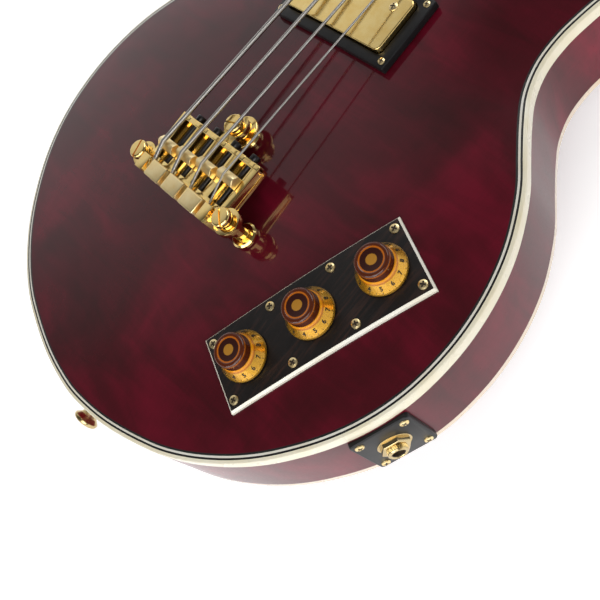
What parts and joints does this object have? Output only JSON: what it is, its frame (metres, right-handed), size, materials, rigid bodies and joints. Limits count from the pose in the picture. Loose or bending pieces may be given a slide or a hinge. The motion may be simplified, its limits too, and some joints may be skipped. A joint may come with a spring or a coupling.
{
  "type": "electric bass guitar",
  "caption": "Electric bass guitar: bound, carved single-cutaway body, long neck, floating bridge with sliding saddles, angled control plate and rim jack.",
  "frame": {"origin": "on the flat back of the body, on its centre line, under the crown of the arched top in the lower bout", "axes": "+Y towards the headstock, +X towards the treble side, +Z out of the carved top"},
  "size_m": [0.3302, 1.1275, 0.1191],
  "materials": {
    "wine_wood": "high-gloss wine-red lacquer over figured wood",
    "cream_plastic": "aged cream celluloid, polished",
    "black_plastic": "black plastic, satin",
    "gold_metal": "polished gold plate",
    "pale_gold": "satin gold plate",
    "rosewood": "dark reddish wood, oiled",
    "steel": "bright wound steel and plated steel",
    "black_steel": "blackened steel",
    "amber_plastic": "clear amber over a gold reflector",
    "bone": "polished bone-coloured plastic"
  },
  "bodies": {
    "instrument": {"body_core": "wine_wood", "top_board": "wine_wood", "neck": "wine_wood", "top_binding": "cream_plastic", "back_binding": "cream_plastic", "top_purfling": "black_plastic", "truss_cover": "black_plastic", "pickup_ring_bridge": "black_plastic", "pickup_ring_neck": "black_plastic", "jack_plate": "black_plastic", "strap_button_tail": "gold_metal", "strap_button_shoulder": "gold_metal", "bridge_frame": "gold_metal", "stud_bass": "gold_metal", "stud_treble": "gold_metal", "stud_front": "gold_metal", "stud_insert_bass": "gold_metal", "stud_insert_treble": "gold_metal", "stud_insert_front": "gold_metal", "pickup_bridge": "gold_metal", "pickup_neck": "gold_metal", "jack_socket": "gold_metal", "tuner_housing_e": "gold_metal", "string_e": "steel", "tuner_housing_a": "gold_metal", "string_a": "steel", "tuner_housing_d": "gold_metal", "string_d": "steel", "tuner_housing_g": "gold_metal", "string_g": "steel", "fingerboard": "rosewood", "control_plate": "rosewood", "nut": "bone", "truss_rod": "steel", "pot_1": "steel", "pot_2": "steel", "pot_3": "steel"},
    "control_knob_1": {"knob_1": "amber_plastic", "shaft_1": "steel"},
    "control_knob_2": {"knob_2": "amber_plastic", "shaft_2": "steel"},
    "control_knob_3": {"knob_3": "amber_plastic", "shaft_3": "steel"},
    "tuner_e_key": {"tuner_key_e": "gold_metal"},
    "tuner_e_post": {"tuner_post_e": "gold_metal"},
    "tuner_a_key": {"tuner_key_a": "gold_metal"},
    "tuner_a_post": {"tuner_post_a": "gold_metal"},
    "tuner_d_key": {"tuner_key_d": "gold_metal"},
    "tuner_d_post": {"tuner_post_d": "gold_metal"},
    "tuner_g_key": {"tuner_key_g": "gold_metal"},
    "tuner_g_post": {"tuner_post_g": "gold_metal"},
    "screw_e": {"intonation_screw_e": "black_steel"},
    "saddle_e_slider": {"saddle_e": "pale_gold"},
    "screw_a": {"intonation_screw_a": "black_steel"},
    "saddle_a_slider": {"saddle_a": "pale_gold"},
    "screw_d": {"intonation_screw_d": "black_steel"},
    "saddle_d_slider": {"saddle_d": "pale_gold"},
    "screw_g": {"intonation_screw_g": "black_steel"},
    "saddle_g_slider": {"saddle_g": "pale_gold"}
  },
  "joints": [
    {"name": "knob_1_turn", "type": "hinge", "parent": "instrument", "child": "control_knob_1", "pos_m": [0.0852, -0.09147, 0.05509], "axis": [0.0666, -0.0708, 0.9953], "range_deg": [-270, 30]},
    {"name": "knob_2_turn", "type": "hinge", "parent": "instrument", "child": "control_knob_2", "pos_m": [0.10046, -0.05603, 0.056], "axis": [0.0795, -0.0411, 0.996], "range_deg": [-270, 30]},
    {"name": "knob_3_turn", "type": "hinge", "parent": "instrument", "child": "control_knob_3", "pos_m": [0.11574, -0.02056, 0.05539], "axis": [0.0989, -0.0007, 0.9951], "range_deg": [-270, 30]},
    {"name": "tuner_e_key_turn", "type": "hinge", "parent": "instrument", "child": "tuner_e_key", "pos_m": [-0.023, 0.78311, -0.00172], "axis": [-1, 0, 0], "continuous": true},
    {"name": "tuner_e_post_turn", "type": "hinge", "parent": "instrument", "child": "tuner_e_post", "pos_m": [-0.023, 0.79704, 0.01473], "axis": [0, 0.2488, 0.9686], "continuous": true},
    {"name": "tuner_a_key_turn", "type": "hinge", "parent": "instrument", "child": "tuner_a_key", "pos_m": [-0.024, 0.85479, -0.02013], "axis": [-1, 0, 0], "continuous": true},
    {"name": "tuner_a_post_turn", "type": "hinge", "parent": "instrument", "child": "tuner_a_post", "pos_m": [-0.024, 0.86872, -0.00368], "axis": [0, 0.2488, 0.9686], "continuous": true},
    {"name": "tuner_d_key_turn", "type": "hinge", "parent": "instrument", "child": "tuner_d_key", "pos_m": [0.024, 0.85479, -0.02013], "axis": [1, 0, 0], "continuous": true},
    {"name": "tuner_d_post_turn", "type": "hinge", "parent": "instrument", "child": "tuner_d_post", "pos_m": [0.024, 0.86872, -0.00368], "axis": [0, 0.2488, 0.9686], "continuous": true},
    {"name": "tuner_g_key_turn", "type": "hinge", "parent": "instrument", "child": "tuner_g_key", "pos_m": [0.023, 0.78311, -0.00172], "axis": [1, 0, 0], "continuous": true},
    {"name": "tuner_g_post_turn", "type": "hinge", "parent": "instrument", "child": "tuner_g_post", "pos_m": [0.023, 0.79704, 0.01473], "axis": [0, 0.2488, 0.9686], "continuous": true},
    {"name": "intonation_e_turn", "type": "hinge", "parent": "instrument", "child": "screw_e", "pos_m": [-0.0249, -0.0173, 0.0712], "axis": [0, -1, 0], "range_deg": [-200, 2560]},
    {"name": "saddle_e_slide", "type": "slide", "parent": "instrument", "child": "saddle_e_slider", "axis": [0, 1, 0], "range_m": [-0.00038, 0.00497]},
    {"name": "intonation_a_turn", "type": "hinge", "parent": "instrument", "child": "screw_a", "pos_m": [-0.0083, -0.0173, 0.0712], "axis": [0, -1, 0], "range_deg": [-200, 2560]},
    {"name": "saddle_a_slide", "type": "slide", "parent": "instrument", "child": "saddle_a_slider", "axis": [0, 1, 0], "range_m": [-0.00038, 0.00497]},
    {"name": "intonation_d_turn", "type": "hinge", "parent": "instrument", "child": "screw_d", "pos_m": [0.0083, -0.0173, 0.0712], "axis": [0, -1, 0], "range_deg": [-200, 2560]},
    {"name": "saddle_d_slide", "type": "slide", "parent": "instrument", "child": "saddle_d_slider", "axis": [0, 1, 0], "range_m": [-0.00038, 0.00497]},
    {"name": "intonation_g_turn", "type": "hinge", "parent": "instrument", "child": "screw_g", "pos_m": [0.0249, -0.0173, 0.0712], "axis": [0, -1, 0], "range_deg": [-200, 2560]},
    {"name": "saddle_g_slide", "type": "slide", "parent": "instrument", "child": "saddle_g_slider", "axis": [0, 1, 0], "range_m": [-0.00038, 0.00497]}
  ],
  "couplings": [
    {"joint": "tuner_e_post_turn", "follows": "tuner_e_key_turn", "ratio": 0.05},
    {"joint": "tuner_a_post_turn", "follows": "tuner_a_key_turn", "ratio": 0.05},
    {"joint": "tuner_d_post_turn", "follows": "tuner_d_key_turn", "ratio": 0.05},
    {"joint": "tuner_g_post_turn", "follows": "tuner_g_key_turn", "ratio": 0.05},
    {"joint": "intonation_e_turn", "follows": "saddle_e_slide", "rad_per_m": 8976},
    {"joint": "intonation_a_turn", "follows": "saddle_a_slide", "rad_per_m": 8976},
    {"joint": "intonation_d_turn", "follows": "saddle_d_slide", "rad_per_m": 8976},
    {"joint": "intonation_g_turn", "follows": "saddle_g_slide", "rad_per_m": 8976}
  ]
}
